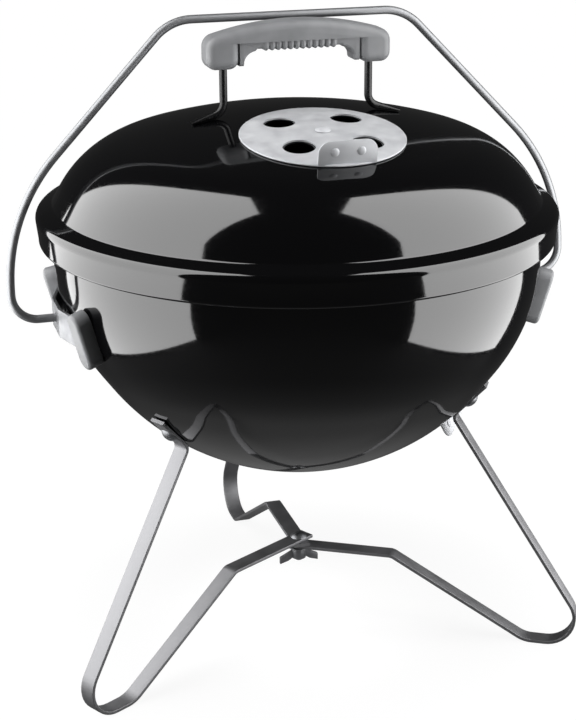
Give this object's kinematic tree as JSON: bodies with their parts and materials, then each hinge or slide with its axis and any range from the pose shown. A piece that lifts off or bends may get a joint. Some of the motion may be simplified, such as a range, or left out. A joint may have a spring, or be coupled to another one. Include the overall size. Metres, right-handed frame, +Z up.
{
  "type": "kettle charcoal grill",
  "caption": "Portable round charcoal grill with a domed lid, rotary dampers, a swinging wire bail that locks the lid, wire grates and bent strap legs.",
  "frame": {"origin": "on the floor, under the axis of the bowl", "axes": "+Z up along the bowl's axis, +X along the lid handle and the bail's pivot, -Y to the front with the lid damper, rear leg at +Y"},
  "size_m": [0.4178, 0.3981, 0.4625],
  "materials": {
    "black_enamel": "gloss",
    "aluminium": "satin",
    "plated_steel": "satin",
    "zinc_fastener": "satin",
    "plated_wire": "gloss",
    "grey_nylon": "matte"
  },
  "bodies": {
    "base": {"bowl_base": "black_enamel", "bowl_wall": "black_enamel", "bail_bracket_left": "plated_steel", "bail_bracket_right": "plated_steel", "bracket_pad_left_a": "grey_nylon", "bracket_pad_left_b": "grey_nylon", "bracket_pad_right_a": "grey_nylon", "bracket_pad_right_b": "grey_nylon", "leg_left": "plated_steel", "leg_right": "plated_steel", "leg_rear": "plated_steel", "leg_screws": "zinc_fastener", "leg_nuts": "zinc_fastener", "tie_screw": "zinc_fastener", "tie_washer": "zinc_fastener", "bowl_damper_rivet": "aluminium", "grate_lugs": "plated_steel", "coal_lugs": "plated_steel"},
    "lid": {"lid_dome": "black_enamel", "lid_rim": "black_enamel", "lid_damper_rivet": "aluminium", "lid_handle_frame": "black_enamel", "grip_cover": "grey_nylon", "grip_insert": "grey_nylon"},
    "lid_damper": {"lid_damper": "aluminium"},
    "bail": {"bail": "plated_steel"},
    "bowl_damper": {"bowl_damper": "aluminium"},
    "cooking_grate": {"cooking_grate": "plated_wire"},
    "charcoal_grate": {"charcoal_grate": "plated_wire"},
    "wing_nut": {"wing_nut": "zinc_fastener"}
  },
  "joints": [
    {"name": "lid_lift", "type": "slide", "parent": "base", "child": "lid", "axis": [0, 0, 1], "range_m": [0, 0.012]},
    {"name": "lid_damper_turn", "type": "hinge", "parent": "lid", "child": "lid_damper", "pos_m": [0, -0.061, 0.39256], "axis": [0, -0.1382, 0.9904], "continuous": true},
    {"name": "bail_swing", "type": "hinge", "parent": "base", "child": "bail", "pos_m": [0, 0, 0.2607], "axis": [-1, 0, 0], "range_deg": [0, 120]},
    {"name": "bowl_damper_turn", "type": "hinge", "parent": "base", "child": "bowl_damper", "pos_m": [0.0777, -0.0137, 0.15474], "axis": [0.4471, -0.0788, -0.891], "continuous": true},
    {"name": "cooking_grate_lift", "type": "slide", "parent": "base", "child": "cooking_grate", "axis": [0, 0, 1], "range_m": [0, 0.03]},
    {"name": "charcoal_grate_lift", "type": "slide", "parent": "base", "child": "charcoal_grate", "axis": [0, 0, 1], "range_m": [0, 0.07]},
    {"name": "wing_nut_turn", "type": "hinge", "parent": "base", "child": "wing_nut", "pos_m": [0, 0, 0.055], "axis": [0, 0, 1], "continuous": true}
  ]
}
